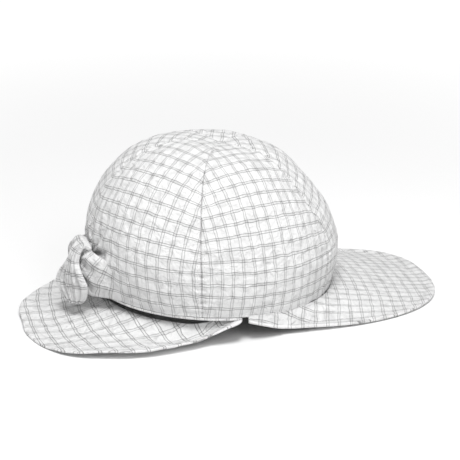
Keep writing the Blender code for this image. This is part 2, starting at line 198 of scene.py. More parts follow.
# The last entry sets how strongly painted shade of the crinkles darkens and lightens the cloth's colour.
checkLook = dict(acrossPitch=0.0092, upPitch=0.0106, pairGap=0.00195, acrossLine=0.00030, upLine=0.00032,
                 acrossDepth=0.60, upDepth=0.80, bandDepth=0.10, cloth=(0.755, 0.755, 0.755),
                 thread=(0.075, 0.075, 0.077), yarn=0.00042, crinkle=0.0043, kink=0.0026, paintedCrinkleShade=0.75)


def checkCotton(name, patternMap):
    # White cotton with a windowpane of paired grey lines. Its crinkles get painted shade and painted highlight in the
    # colour as well as bump. The pattern map holds metres of cloth.
    look = checkLook
    material, shader, tool = newMaterial(name, 0.88, 0.12)
    place = tool.node("ShaderNodeUVMap", {"uv_map": patternMap})
    parts = tool.node("ShaderNodeSeparateXYZ", None, Vector=Signal(tool.tree, place.outputs[0]))
    point = tool.node("ShaderNodeTexCoord")
    place3d = Signal(tool.tree, point.outputs["Object"])

    def cloudy(scale, detail, variant, distortion=0.0):
        cloud = tool.node("ShaderNodeTexNoise", {"noise_dimensions": "4D"}, Vector=place3d, W=variant, Scale=scale,
                          Detail=detail, Distortion=distortion)
        return Signal(tool.tree, cloud.outputs[0]) - 0.5

    across = Signal(tool.tree, parts.outputs[0]) + cloudy(130.0, 1.5, 2.0) * look["kink"]
    up = Signal(tool.tree, parts.outputs[1]) + cloudy(130.0, 1.5, 9.0) * look["kink"]

    def lines(distance, pitch, width, depth):
        offset = ((distance / pitch).wrapped() - 0.5) * pitch
        pair = (offset.size() - look["pairGap"] / 2).size()
        return pair.band(width * 0.35, width * 1.15) * depth, offset.size().band(0.0006, 0.0016)

    upLines, upBand = lines(across, look["acrossPitch"], look["acrossLine"], look["acrossDepth"])
    sideLines, sideBand = lines(up, look["upPitch"], look["upLine"], look["upDepth"])
    weaveUp = (across * (2 * pi / look["yarn"])).wave()
    weaveSide = (up * (2 * pi / look["yarn"])).wave()
    broken = 1 - (weaveUp * weaveSide + 1) * 0.14
    ink = 1 - (1 - upLines * broken) * (1 - sideLines * broken)
    tint = (upBand + sideBand) * look["bandDepth"]
    slub = cloudy(900.0, 2.0, 1.0)
    crease = cloudy(125.0, 3.0, 4.0, 0.8)
    # Painted shade: the crinkle noise that bumps the cloth also darkens and lightens its colour, standing in for the
    # crinkles' light and shade.
    shade = 1 - tint - cloudy(38.0, 3.0, 3.0) * 0.10 - slub * 0.10 + crease * look["paintedCrinkleShade"]
    shade = shade - weaveUp * weaveSide * 0.02
    plain = tool.node("ShaderNodeMix", {"data_type": "RGBA"}, Factor=shade, i6=(0, 0, 0, 1), i7=(*look["cloth"], 1))
    worn = tool.node("ShaderNodeMix", {"data_type": "RGBA"}, Factor=ink,
                     i6=Signal(tool.tree, plain.outputs[2]), i7=(*look["thread"], 1))
    tool.tree.links.new(worn.outputs[2], shader.inputs["Base Color"])
    height = crease * look["crinkle"] + (weaveUp + weaveSide) * 0.00003 + slub * 0.00006
    bump = tool.node("ShaderNodeBump", None, Height=height, Distance=1.0, Strength=1.0)
    tool.tree.links.new(bump.outputs[0], shader.inputs["Normal"])
    return material


def plainCotton(name, colour, yarn, patternMap):
    material, shader, tool = newMaterial(name, 0.9, 0.1)
    place = tool.node("ShaderNodeUVMap", {"uv_map": patternMap})
    parts = tool.node("ShaderNodeSeparateXYZ", None, Vector=Signal(tool.tree, place.outputs[0]))
    across, up = (Signal(tool.tree, parts.outputs[axis]) for axis in (0, 1))
    twill = ((across + up) * (2 * pi / yarn)).wave()
    point = tool.node("ShaderNodeTexCoord")
    cloud = Signal(tool.tree, tool.node("ShaderNodeTexNoise", None, Vector=Signal(tool.tree, point.outputs["Object"]),
                                        Scale=60.0, Detail=3.0).outputs[0])
    shade = 1 - (cloud - 0.5) * 0.14 - (twill + 1) * 0.03
    tone = tool.node("ShaderNodeMix", {"data_type": "RGBA"}, Factor=shade, i6=(0, 0, 0, 1), i7=(*colour, 1))
    tool.tree.links.new(tone.outputs[2], shader.inputs["Base Color"])
    bump = tool.node("ShaderNodeBump", None, Height=twill * 0.00005 + cloud * 0.0004, Distance=1.0, Strength=1.0)
    tool.tree.links.new(bump.outputs[0], shader.inputs["Normal"])
    return material


def threadMaterial(name, colour):
    material, shader, tool = newMaterial(name, 0.7, 0.2)
    point = tool.node("ShaderNodeTexCoord")
    ply = Signal(tool.tree, tool.node("ShaderNodeTexNoise", None, Vector=Signal(tool.tree, point.outputs["Object"]),
                                      Scale=2500.0, Detail=1.0).outputs[0])
    tone = tool.node("ShaderNodeMix", {"data_type": "RGBA"}, Factor=1 - ply * 0.25, i6=(0, 0, 0, 1), i7=(*colour, 1))
    tool.tree.links.new(tone.outputs[2], shader.inputs["Base Color"])
    return material


checkMaterial = checkCotton("check_cotton_cloth", "pattern")
liningMaterial = plainCotton("white_lining_twill", (0.78, 0.78, 0.76), 0.0009, "pattern")
sewingThread = threadMaterial("sewing_thread", (0.66, 0.66, 0.65))
print("materials ready")


# Shared makers

def clothGrid(name, columns, rows, placeAt, patternAt, material, thickness=0.0, offset=-1.0,
              merge=0.0, closed=False):
    # A grid laid on a surface. placeAt and patternAt take shares from 0 to 1 across and along it.
    form = bmesh.new()
    bmesh.ops.create_grid(form, x_segments=columns, y_segments=rows, size=0.5)
    layer = form.loops.layers.uv.new("pattern")
    shares = {vertex: (vertex.co.x + 0.5, vertex.co.y + 0.5) for vertex in form.verts}
    for face in form.faces:
        face.smooth = True
        for loop in face.loops:
            loop[layer].uv = patternAt(*shares[loop.vert])
    for vertex, (across, along) in shares.items():
        vertex.co = placeAt(across, along) + capShift
    if merge or closed:
        bmesh.ops.remove_doubles(form, verts=form.verts, dist=max(merge, 0.00001))
    if closed:
        rims = [edge for edge in form.edges if edge.is_boundary]
        bmesh.ops.holes_fill(form, edges=rims, sides=0)
        bmesh.ops.recalc_face_normals(form, faces=form.faces)
    mesh = bpy.data.meshes.new(name)
    form.to_mesh(mesh)
    form.free()
    mesh.materials.append(material)
    piece = bpy.data.objects.new(name, mesh)
    bpy.context.scene.collection.objects.link(piece)
    if thickness:
        wall = piece.modifiers.new("thickness", "SOLIDIFY")
        wall.thickness = thickness
        wall.offset = offset
        wall.use_even_offset = False
    return piece


def wrinkle(point, scale, seed):
    return noise.noise(Vector((point.x, point.y, point.z)) * scale + Vector((seed, seed * 1.7, seed * 0.3)))


stitch = dict(length=0.0023, spacing=0.0034, radius=0.00022)


def stitchRow(name, points, normals):
    # Short thread capsules laid end to end along a path, just proud of the cloth.
    form = bmesh.new()
    travelled, due = 0.0, 0.0
    for index in range(len(points) - 1):
        start, end = points[index], points[index + 1]
        span = (end - start).length
        while span > 1e-7 and due <= travelled + span:
            share = (due - travelled) / span
            spot = start.lerp(end, share)
            along = (end - start).normalized()
            outward = normals[index].lerp(normals[index + 1], share).normalized()
            side = outward.cross(along).normalized()
            outward = along.cross(side)
            turn = Matrix((along, side, outward)).transposed().to_4x4()
            size = Matrix.Diagonal((stitch["length"] / 2, stitch["radius"] * 1.5, stitch["radius"], 1))
            bmesh.ops.create_icosphere(form, subdivisions=1, radius=1,
                                       matrix=Matrix.Translation(spot + capShift) @ turn @ size)
            due += stitch["spacing"]
        travelled += span
    for face in form.faces:
        face.smooth = True
    mesh = bpy.data.meshes.new(name)
    form.to_mesh(mesh)
    form.free()
    mesh.materials.append(sewingThread)
    piece = bpy.data.objects.new(name, mesh)
    bpy.context.scene.collection.objects.link(piece)
    return piece


# Crown panels

panelLook = dict(rows=130, columnWidth=0.0015, groove=0.00022, grooveWidth=0.0009, ridge=0.0004, ridgeFrom=0.0012,
                 ridgeTo=0.0062, pucker=0.00055, puckerSpacing=0.0078, fold=0.0011, gather=0.0030,
                 tip=0.9988, firstLine=0.0092, hem=0.0032)
knotSpot = Vector((-0.1050, -0.0165, 0.0600))
pivot = Vector((crown["apexShift"] - crown["lean"], 0, 0))


def wallRadius(azimuth, level):
    point = plainCrown(azimuth, level)
    middle = (plainCrown(0, level).x + plainCrown(pi, level).x) / 2
    return hypot(point.x - middle, point.y)


def gathers(point):
    # Folds that run out over the back of the crown from the knot.
    away = Vector((0, abs(point.y - knotSpot.y), point.z - knotSpot.z))
    if point.x > -0.05 or away.z < -0.012:
        return 0
    angle = atan2(away.z, away.y)
    near = ease((0.058 - away.length) / 0.050)
    return panelLook["gather"] * near * (0.55 * cos(angle * 8.0 + 0.6) - 0.45) * ease((away.length + 0.004) / 0.014)


def panelRelief(start, end, azimuth, level, point):
    look = panelLook
    distance = min(azimuth - start, end - azimuth) * wallRadius(azimuth, level)
    seamSide = start if azimuth - start < end - azimuth else end
    along = level * 0.19
    groove = -look["groove"] * 2.718 ** (-(distance / look["grooveWidth"]) ** 2)
    ridge = look["ridge"] * ease((distance - look["ridgeFrom"] * 0.3) / look["ridgeFrom"]) * \
        ease((look["ridgeTo"] - distance) / 0.002)
    fade = ease((1 - level) / 0.12)
    pucker = look["pucker"] * sin(2 * pi * along / look["puckerSpacing"] + seamSide * 3
                                  + 2.2 * wrinkle(point, 40, 3)) * 2.718 ** (-distance / 0.007)
    soft = look["fold"] * wrinkle(point, 26, 1) + 0.00085 * wrinkle(point, 75, 5) + 0.0004 * wrinkle(point, 180, 9)
    hem = 0.00035 * ease((look["hem"] - along) / 0.0006) - 0.0005 * 2.718 ** (-((along - look["hem"]) / 0.0006) ** 2)
    return (groove + ridge + pucker) * fade + soft * (0.35 + 0.65 * fade) + hem + gathers(point)


def middleLine(azimuth):
    # Angle above the widest level, seen from the pivot, against length up the panel's middle.
    table, length, before = [], 0.0, None
    direction = Vector((cos(azimuth), sin(azimuth), 0))
    for step in range(81):
        point = plainCrown(azimuth, mix(crown["equatorLevel"], 1, step / 80))
        rise = point.z - edgeHeight(point.x) - crown["equator"]
        reach = (point - pivot).dot(direction)
        if before is not None:
            length += (point - before).length
        table.append((atan2(rise, max(reach, 0.0001)), length))
        before = point
    return table


def clothPlace(point, azimuth, table):
    # Where a point of the crown lies on its panel's flat cloth: straight up the middle, then square to it.
    direction = Vector((cos(azimuth), sin(azimuth), 0))
    across = Vector((-sin(azimuth), cos(azimuth), 0))
    away = point - pivot
    rise = point.z - edgeHeight(point.x) - crown["equator"]
    reach, aside = away.dot(direction), away.dot(across)
    if rise <= 0:
        up = rise
        distance = hypot(reach, aside)
    else:
        angle = atan2(rise, max(reach, 0.0001))
        up = table[-1][1]
        for low, high in zip(table, table[1:]):
            if low[0] <= angle <= high[0]:
                up = mix(low[1], high[1], (angle - low[0]) / max(high[0] - low[0], 1e-6))
                break
        distance = sqrt(reach * reach + aside * aside + rise * rise)
    sideways = distance * asin(max(-1, min(1, aside / max(distance, 1e-6))))
    return (sideways + checkLook["acrossPitch"] / 2,
            up + crown["equator"] - panelLook["firstLine"] + checkLook["upPitch"] / 2)


def crownPanel(name, start, end):
    middle = (start + end) / 2
    table = middleLine(middle)
    width = (end - start) * 0.096
    inset = 0.00002 / 0.09

    def placeAt(across, along):
        azimuth = mix(start + inset, end - inset, across)
        level = along * panelLook["tip"]
        point = plainCrown(azimuth, level)
        share = (azimuth - start) / (end - start)
        puff = crown["puff"] * sin(pi * share) * sin(pi * level) ** 0.7
        outward = puff + panelRelief(start, end, azimuth, level, point)
        return point + crownNormal(azimuth, level) * outward

    def patternAt(across, along):
        return clothPlace(plainCrown(mix(start, end, across), along * panelLook["tip"]), middle, table)

    piece = clothGrid(name + "_cloth", round(width / panelLook["columnWidth"]), panelLook["rows"], placeAt, patternAt,
                      checkMaterial, crown["cloth"], -1)
    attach(piece, "cap")
    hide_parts(name)
    # The cut is as wide as its panel up the lower band, then narrows as a cosine up the dome.
    dome = table[-1][1]
    round(width * (crown["equator"] + dome * 2 / pi), 5)


for name, start, end in [("crown_panel_front", seams[2], seams[3]), ("crown_panel_side_left", seams[3], seams[4]),
                         ("crown_panel_side_right", seams[1], seams[2]), ("crown_panel_back_left", seams[4], pi),
                         ("crown_panel_back_right", -pi, seams[1])]:
    crownPanel(name, start, end)

seamStitches = dict(away=0.0026, first=0.03, last=0.93, lift=0.0001)
for name, azimuth in [("front_left", seams[3]), ("front_right", seams[2]), ("rear_left", seams[4]),
                      ("rear_right", seams[1]), ("center_back", pi)]:
    for side in (-1, 1):
        points, normals = [], []
        for step in range(81):
            level = mix(seamStitches["first"], seamStitches["last"], step / 80)
            turn = azimuth + side * seamStitches["away"] / wallRadius(azimuth, level)
            point = plainCrown(turn, level)
            start = azimuth if side > 0 else azimuth - 1
            relief = panelRelief(start, start + 1, turn, level, point)
            points.append(point + crownNormal(turn, level) * (relief + seamStitches["lift"]))
            normals.append(crownNormal(turn, level))
        row = stitchRow("seam_stitches_" + name + ("_a" if side < 0 else "_b"), points, normals)
        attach(row, "cap")
print("crown ready")


# Brim and neck flap

brim = dict(reach=0.194, halfWidth=0.0866, squareFrom=0.058, roundness=2.6, end=radians(85.5),
            hemRise=[(34, 64, 0.0035), (60, 92, 0.0135)], fall=1.15, thick=0.0030, hemThick=0.0021, layers=0.0035,
             hem=0.011,
            seamGap=0.0004, cone=0.76, crosswise=True, squeeze=1.25, columns=180, rows=104)
flap = dict(reach=0.1645, halfWidth=0.101, squareFrom=0.075, roundness=2.3, drawIn=0.014, end=radians(92),
            riseFrom=radians(52), fall=2.2, thick=0.0014, hemThick=0.0022, layers=0.0021, hem=0.0085,
            tuck=0.006, drop=0.0088, farSide=0.125, nearSide=0.022, patternTurn=radians(4), cone=0.72,
            crosswise=False, columns=200, rows=96)


tipTurn = radians(7)


def brimHalfWidth(x):
    if x < brim["squareFrom"]:
        return brim["halfWidth"]
    share = min((x - brim["squareFrom"]) / (brim["reach"] - brim["squareFrom"]), 1)
    return brim["halfWidth"] * (1 - share ** brim["roundness"]) ** (1 / brim["roundness"])


def flapHalfWidth(x):
    if x < flap["squareFrom"]:
        share = min((flap["squareFrom"] - x) / flap["squareFrom"], 1)
        return flap["halfWidth"] - flap["drawIn"] * share ** 1.6
    share = min((x - flap["squareFrom"]) / (flap["reach"] - flap["squareFrom"]), 1)
    return flap["halfWidth"] * (1 - share ** flap["roundness"]) ** (1 / flap["roundness"])


def rimReach(azimuth, halfWidthAt, furthest):
    inside, outside = 0.03, furthest * 1.3
    for _ in range(26):
        middle = (inside + outside) / 2
        if abs(middle * sin(azimuth)) < halfWidthAt(middle * cos(azimuth)):
            inside = middle
        else:
            outside = middle
    return inside


def slope(share, innerHeight, hemHeight, width, hem, fall):
    # Height of a sheet's middle between the crown, share 0, and the hem, share 1.
    flat = min(hem, width * 0.5) / width
    return hemHeight + (innerHeight - hemHeight) * max(0.0, (1 - share - flat) / (1 - flat)) ** fall


def brimLine(azimuth):
    inner = edgeRadius(azimuth) + brim["seamGap"]
    outer = max(rimReach(azimuth, brimHalfWidth, brim["reach"]), inner + 0.0026)
    outer = mix(inner, outer, roundedTip(azimuth, brim["end"]))
    innerHeight = edgeHeight(inner * cos(azimuth))
    hemHeight = brim["layers"] / 2
    for start, end, rise in brim["hemRise"]:
        hemHeight += rise * ease((abs(azimuth) - radians(start)) / radians(end - start))
    return inner, outer, innerHeight, min(hemHeight, innerHeight)


def flapLine(azimuth):
    # The azimuth is measured from the back.
    inner = edgeRadius(azimuth) - flap["tuck"]
    drawn = 1 - flap["farSide"] * ease(-azimuth / radians(34)) * ease((azimuth + flap["end"]) / radians(40))
    spread = 1 + flap["nearSide"] * ease(azimuth / radians(12)) * ease((radians(44) - azimuth) / radians(16))
    outer = max(rimReach(azimuth, flapHalfWidth, flap["reach"]) * drawn * spread, inner + 0.012)
    outer = mix(inner, outer, roundedTip(azimuth, flap["end"]))
    innerHeight = edgeHeight(-inner * cos(azimuth)) - flap["drop"] * ease((flap["end"] - abs(azimuth)) / radians(30))
    rise = ease((abs(azimuth) - flap["riseFrom"]) / (flap["end"] - flap["riseFrom"]))
    hemHeight = mix(flap["layers"] / 2, innerHeight - 0.0024, rise)
    return inner, outer, innerHeight, hemHeight


def profile(along, thick, hemThick):
    # Runs out over the top, round the hem and back underneath: share of the width, offset up, offset outward.
    rim = ease(min(along, 1 - along) / 0.0105)
    if along < 0.47:
        share = along / 0.47
        return share, rim * mix(thick, hemThick, ease(share * 3 - 2)) / 2, 0.0
    if along > 0.53:
        share = (1 - along) / 0.47
        return share, -rim * mix(thick, hemThick, ease(share * 3 - 2)) / 2, 0.0
    turn = (along - 0.47) / 0.06 * pi
    return 1.0, hemThick / 2 * cos(turn), hemThick / 2 * sin(turn)


def roundedTip(azimuth, end):
    # Narrows a piece to nothing over the last few degrees of its ends.
    past = max(0.0, (abs(azimuth) - end + tipTurn) / tipTurn)
    return max(0.04, sqrt(max(0.0, 1 - past ** 2.4)))


def brimRelief(x, y, share, width):
    fromHem = (1 - share) * width
    ridge = 0.0004 * ease((0.0062 - fromHem) / 0.0012) - 0.0004 * 2.718 ** (-((fromHem - 0.0068) / 0.0007) ** 2)
    soft = 0.0008 * wrinkle(Vector((x, y, 0)), 22, 12) + 0.0004 * wrinkle(Vector((x, y, 0)), 95, 4)
    return ridge + soft * ease(share * 5)


def brimPlace(azimuth, share, up, out):
    inner, outer, innerHeight, hemHeight = brimLine(azimuth)
    radius = mix(inner, outer, share)
    height = slope(share, innerHeight, hemHeight, outer - inner, brim["hem"], brim["fall"])
    x, y = radius * cos(azimuth), radius * sin(azimuth)
    tuck = 0.0003 * 2.718 ** (-((radius - inner) / 0.0014) ** 2)
    return Vector((x + out * cos(azimuth), y + out * sin(azimuth),
                   height + up + brimRelief(x, y, share, outer - inner) * (1 if up > 0 else 0.4) - tuck))


def flapWave(turn, share):
    # Soft ripples of loose cloth, deepest at the hem. The hem stands clear of the floor in places.
    swell = 0.0021 * cos(turn * 5.2 + 0.9) + 0.0013 * sin(turn * 9.1 + 2.0)
    lifted = 0.0052 * 2.718 ** (-((abs(turn) - radians(46)) / 0.48) ** 2)
    spot = Vector((turn * 0.11, share * 0.05, 0))
    return (swell * 0.55 + lifted) * ease(share) + 0.0010 * wrinkle(spot, 45, 2) + 0.0007 * wrinkle(spot, 130, 5)


def flapPlace(turn, share, up, out):
    inner, outer, innerHeight, hemHeight = flapLine(turn)
    width = outer - inner
    radius = mix(inner, outer, share)
    height = slope(share, innerHeight, hemHeight, width, flap["hem"], flap["fall"])
    fromHem = (1 - share) * width
    seam = -0.00045 * 2.718 ** (-((fromHem - flap["hem"]) / 0.0007) ** 2) * (1 if up > 0 else 0)
    room = ease((abs(turn) - flap["end"]) / -0.25)
    wave = flapWave(turn, share) * room * ease((radius - edgeRadius(turn) - 0.001) / 0.02)
    lowest = 0.0002 - up if up < 0 else 0.0002 + flap["hemThick"] / 2
    height = max(height + wave + seam, lowest)
    reach = radius + out + 0.0012 * wrinkle(Vector((turn * 0.1, 0, 0)), 60, 8) * ease(share * 2 - 1)
    return Vector((-reach * cos(turn), -reach * sin(turn), height + up))


def coneCloth(azimuth, radius, cone, turned):
    # A sloping sheet laid flat spans a smaller angle than it does on the cap.
    turn = azimuth * cone + turned
    return radius * sin(turn), radius * cos(turn)


def layeredPiece(name, sizes, lineAt, placeOn, nodes, turned):
    def placeAt(across, along):
        azimuth = mix(-sizes["end"], sizes["end"], across)
        share, up, out = profile(along, sizes["thick"], sizes["hemThick"])
        return placeOn(azimuth, share, up, out)

    def patternAt(across, along):
        azimuth = mix(-sizes["end"], sizes["end"], across)
        inner, outer, innerHeight, hemHeight = lineAt(azimuth)
        share, up, out = profile(along, sizes["thick"], sizes["hemThick"])
        aside, away = coneCloth(azimuth, mix(inner, outer, share) + out, sizes["cone"], turned)
        if sizes["crosswise"]:
            spread = (mix(inner, outer, share) + (innerHeight - hemHeight) * share) * sin(azimuth) * sizes["squeeze"]
            return away + checkLook["acrossPitch"] / 2, spread + checkLook["upPitch"] / 2
        return aside + checkLook["acrossPitch"] / 2, away + checkLook["upPitch"] / 2

    piece = clothGrid(name, sizes["columns"], sizes["rows"], placeAt, patternAt, checkMaterial,
                      closed=True)
    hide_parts(*nodes)
    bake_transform(piece)
    return piece


def hemStitches(name, sizes, lineAt, placeOn, inFromHem, last):
    points, normals = [], []
    for step in range(241):
        azimuth = mix(-last, last, step / 240)
        inner, outer = lineAt(azimuth)[:2]
        share = 1 - min(inFromHem / (outer - inner), 0.7)
        up = mix(sizes["thick"], sizes["hemThick"], ease(share * 3 - 2)) / 2
        points.append(placeOn(azimuth, share, up, 0) + Vector((0, 0, 0.00012)))
        normals.append(Vector((0, 0, 1)))
    row = stitchRow(name, points, normals)
    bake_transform(row)


layeredPiece("brim", brim, brimLine, brimPlace,
             ["brim_top_cover_root", "brim_top_cover_front", "brim_stiffener_root", "brim_stiffener_front",
              "brim_under_cover_root", "brim_under_cover_front"], 0)
hemStitches("brim_hem_stitches", brim, brimLine, brimPlace, 0.0068, radians(68))
flapPiece = layeredPiece("neck_flap", flap, flapLine, flapPlace,
                         ["neck_flap_top_layer_root", "neck_flap_top_layer_rear", "neck_flap_under_layer_root",
                          "neck_flap_under_layer_rear"], flap["patternTurn"])
hemStitches("neck_flap_hem_stitches", flap, flapLine, flapPlace, flap["hem"],
            radians(84))


def flapCut(steps=184):
    # The flap's outline laid flat as a cone as steep as its own lines: its width, its length and its area.
    turns = [mix(-flap["end"], flap["end"], (step + 0.5) / steps) for step in range(steps)]
    lines = [(turn, *flapLine(turn)) for turn in turns]
    cone = sum((outer - inner) / hypot(outer - inner, top - hem) for turn, inner, outer, top, hem in lines) / steps
    spots = [(radius / cone * cos(turn * cone), radius / cone * sin(turn * cone))
             for turn, inner, outer, top, hem in lines for radius in (inner, outer)]
    back, side = zip(*spots)
    area = sum((outer * outer - inner * inner) / 2 / cone for turn, inner, outer, top, hem in lines)
    print("flap cone", round(cone, 4))
    return max(side) - min(side), max(back) - min(back), area * 2 * flap["end"] / steps


cutWidth, cutLength, cutArea = flapCut()
print("flap cut", round(cutWidth, 4), round(cutLength, 4), round(cutArea, 5))
print("brim and flap ready")


# Bands, tapes and the label

def outline(along, width, thick, squareness=5.0):
    # A point on a rounded flat outline, width across by thick.
    turn = along * 2 * pi
    c, s = cos(turn), sin(turn)
    return (abs(c) ** (2 / squareness) * (1 if c > 0 else -1) * width / 2,
            abs(s) ** (2 / squareness) * (1 if s > 0 else -1) * thick / 2)


def wallBand(name, start, end, low, high, outward, thick, material, nodes, waves=0.0):
    # A band round the crown's wall, from low to high above its lower edge.
    columns = round((end - start) / radians(1.6))

    def placeAt(across, along):
        azimuth = mix(start, end, across)
        up, out = outline(along, high - low, thick)
        ripple = waves * sin(azimuth * 34 + 5 * wrinkle(Vector((azimuth, 0, 0)), 2, 6))
        height = (low + high) / 2 + up
        if height < 0:
            radius = edgeRadius(azimuth) + outward + out
            x = radius * cos(azimuth)
            return Vector((x, radius * sin(azimuth), edgeHeight(x) + height))
        return crownPoint(azimuth, levelAt(height), outward + out + ripple)

    def patternAt(across, along):
        up, out = outline(along, high - low, thick)
        return (mix(start, end, across) * 0.096 + checkLook["acrossPitch"] / 2, up + out)

    piece = clothGrid(name, columns, 28, placeAt, patternAt, material, closed=True)
    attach(piece, "cap")
    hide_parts(*nodes)
    return piece


inward = dict(band=-0.0022, casing=-0.0027, label=-0.0037, tape=-0.0019)
wallBand("sweatband_twill", radians(-146), radians(146), 0.0004, 0.0240, inward["band"], 0.0012, liningMaterial,
         ["sweatband"], 0.0002)
wallBand("rear_tie_casing_twill", radians(149), radians(211), 0.0004, 0.0240, inward["casing"], 0.0022,
         liningMaterial, ["rear_tie_casing"], 0.0003)
wallBand("care_label_tape", radians(-96.3), radians(-83.7), 0.0042, 0.0198, inward["label"] - 0.0002, 0.0006,
         liningMaterial, ["care_label"])
wallBand("crown_edge_fold", radians(89), radians(271), -0.0024, -0.0004, -0.0001, 0.0014, checkMaterial,
         ["crown_edge_binding"])


def seamTape(name, azimuth):
    def placeAt(across, along):
        level = mix(0.189, 0.93, across)
        aside, out = outline(along, 0.010, 0.0007)
        turn = azimuth + aside / wallRadius(azimuth, level)
        point = plainCrown(turn, level)
        return point + crownNormal(turn, level) * (inward["tape"] + out)

    def patternAt(across, along):
        aside, out = outline(along, 0.010, 0.0007)
        return (aside, across * 0.14 + out)

    piece = clothGrid(name + "_cloth", 60, 24, placeAt, patternAt, liningMaterial, closed=True)
    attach(piece, "cap")
    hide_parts(name)


for name, azimuth in [("front_left", seams[3]), ("front_right", seams[2]), ("rear_left", seams[4]),
                      ("rear_right", seams[1]), ("center_back", pi)]:
    seamTape("seam_tape_" + name, azimuth)

for name, height, outward, start, end in [("sweatband_stitches", 0.0215, -0.00285, radians(-145), radians(145)),
                                          ("casing_stitches", 0.0215, -0.00385, radians(150), radians(210))]:
    points, normals = [], []
    for step in range(181):
        azimuth = mix(start, end, step / 180)
        points.append(crownPoint(azimuth, levelAt(height), outward))
        normals.append(-crownNormal(azimuth, levelAt(height)))
    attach(stitchRow(name, points, normals), "cap")
print("inside ready")


# Tie

knot = dict(turn=radians(8.6), aside=-0.0165, height=0.0605, size=Vector((0.0066, 0.0100, 0.0092)), folds=7,
            depth=0.0011)
knot["middle"] = Vector((-(crown["halfLength"] + crown["swell"]) * cos(knot["turn"]) - 0.00695, knot["aside"],
                         knot["height"]))
tie = dict(start=radians(143), lowEdge=0.0006, highEdge=0.0262, lowAtKnot=0.0245, highAtKnot=0.0405, sunk=-0.0006,
           standOff=0.0016, bulge=0.0135, overrun=radians(11), atKnot=0.0062, pleat=0.0012, thick=0.0011,
           patternRun=0.062)


def tieStrap(name, side):
    # A folded strap from the crown's lower band up to the knot, gathered and standing off as it goes.
    finish = pi + side * knot["turn"] - radians(1.5)
    panelMiddle = (seams[4] + pi) / 2
    table = middleLine(panelMiddle)

    def heightAt(across, along):
        low = mix(tie["lowEdge"], tie["lowAtKnot"], ease((along - 0.48) / 0.52))
        high = mix(tie["highEdge"], tie["highAtKnot"], ease((along - 0.08) / 0.85))
        return mix(low, high, across)

    def placeAt(across, along):
        overrun = tie["overrun"] * (1 - across) * ease(along / 0.6) * ease((1 - along) / 0.35) * (side < 0)
        azimuth = mix(tie["start"], finish, along) + overrun
        height = heightAt(across, along)
        settle = 1 - 0.45 * ease((along - 0.72) / 0.28)
        belly = tie["bulge"] * ease((along - 0.22) / 0.50) * (1 - across) ** 0.8 * settle
        standOff = mix(tie["sunk"], tie["standOff"], ease((along - 0.06 - 0.42 * across) / 0.24))
        outward = standOff + belly + tie["atKnot"] * ease((along - 0.45) / 0.55) * across
        ripple = sin(across * 2 * pi * 2.6 + 0.7 + along * 1.2)
        pleat = tie["pleat"] * ripple * ease((along - 0.15 - 0.3 * across) / 0.5)
        point = crownPoint(azimuth, levelAt(max(height, 0)), outward + pleat
                           + 0.0005 * wrinkle(Vector((across * 0.03, along * 0.05, side)), 60, 7) * ease(along / 0.2))
        return Vector((point.x, point.y * side, point.z))

    def patternAt(across, along):
        first = tie["start"]
        spot = plainCrown(first, levelAt(mix(tie["lowEdge"], tie["highEdge"], across)))
        begin = clothPlace(spot, panelMiddle, table)
        return (side * (begin[0] - checkLook["acrossPitch"] / 2 + along * tie["patternRun"])
                + checkLook["acrossPitch"] / 2, begin[1])

    piece = clothGrid(name + "_cloth", 30, 64, placeAt, patternAt, checkMaterial, tie["thick"], 0)
    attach(piece, "cap")
    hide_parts(name)


tieStrap("tie_strap_left", 1)
tieStrap("tie_strap_right", -1)


def tieKnot():
    form = bmesh.new()
    bmesh.ops.create_uvsphere(form, u_segments=72, v_segments=44, radius=1)
    layer = form.loops.layers.uv.new("pattern")
    bmesh.ops.recalc_face_normals(form, faces=form.faces)
    for vertex in form.verts:
        way = vertex.co.normalized()
        around = atan2(way.z, way.y)
        tuck = 1 - abs(way.x) ** 3
        fold = knot["depth"] * sin(around * knot["folds"] + 2.4 * way.x) * tuck
        waist = -0.0016 * 2.718 ** (-((way.y * 2.2) ** 2)) * (1 - abs(way.z))
        shape = 1 + (fold + waist) / 0.009 + 0.10 * wrinkle(way * 0.02, 60, 11)
        vertex.co = Vector(way[axis] * knot["size"][axis] * shape for axis in range(3)) + knot["middle"] + capShift
    for face in form.faces:
        face.smooth = True
        for loop in face.loops:
            away = loop.vert.co - knot["middle"] - capShift
            loop[layer].uv = (away.y * 1.2 + away.z * 0.5 + 0.003, away.z * 1.1 - away.y * 0.5 + 0.004)
    mesh = bpy.data.meshes.new("tie_knot_cloth")
    form.to_mesh(mesh)
    form.free()
    mesh.materials.append(checkMaterial)
    piece = bpy.data.objects.new("tie_knot_cloth", mesh)
    bpy.context.scene.collection.objects.link(piece)
    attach(piece, "cap")
    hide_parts("tie_knot")


tieKnot()

tailTop = 0.07525
tails = dict(
    tie_tail_right=dict(
        body="tail_right", start=Vector((0, 1, 0)), end=Vector((-0.60, 0.79, -0.10)), flat=(0.040, 0.066),
        route=[(0.0030, -0.0060, -0.0075), (-0.0030, -0.0060, -0.0046), (-0.0080, -0.0060, -0.0075),
               (-0.0118, -0.0050, -0.0150), (-0.0140, -0.0040, -0.0240), (-0.0148, -0.0015, -0.0345),
               (-0.0140, -0.0015, -0.0450), (-0.0118, -0.0045, -0.0575)]),
    tie_tail_left=dict(
        body="tail_left", start=Vector((0, 1, 0)), end=Vector((0.45, 0.89, 0)), flat=(0.040, 0.066),
        route=[(0.0030, 0.0045, -0.0075), (-0.0030, 0.0052, -0.0045), (-0.0070, 0.0100, -0.0090),
               (-0.0090, 0.0170, -0.0150), (-0.0080, 0.0250, -0.0240), (-0.0055, 0.0310, -0.0330),
               (-0.0025, 0.0345, -0.0420), (-0.0005, 0.0360, -0.0500)]))
tail = dict(topWidth=0.0135, endWidth=0.0385, thick=0.0015, pleats=4.5, pleatDepth=0.0013, cup=0.0035)


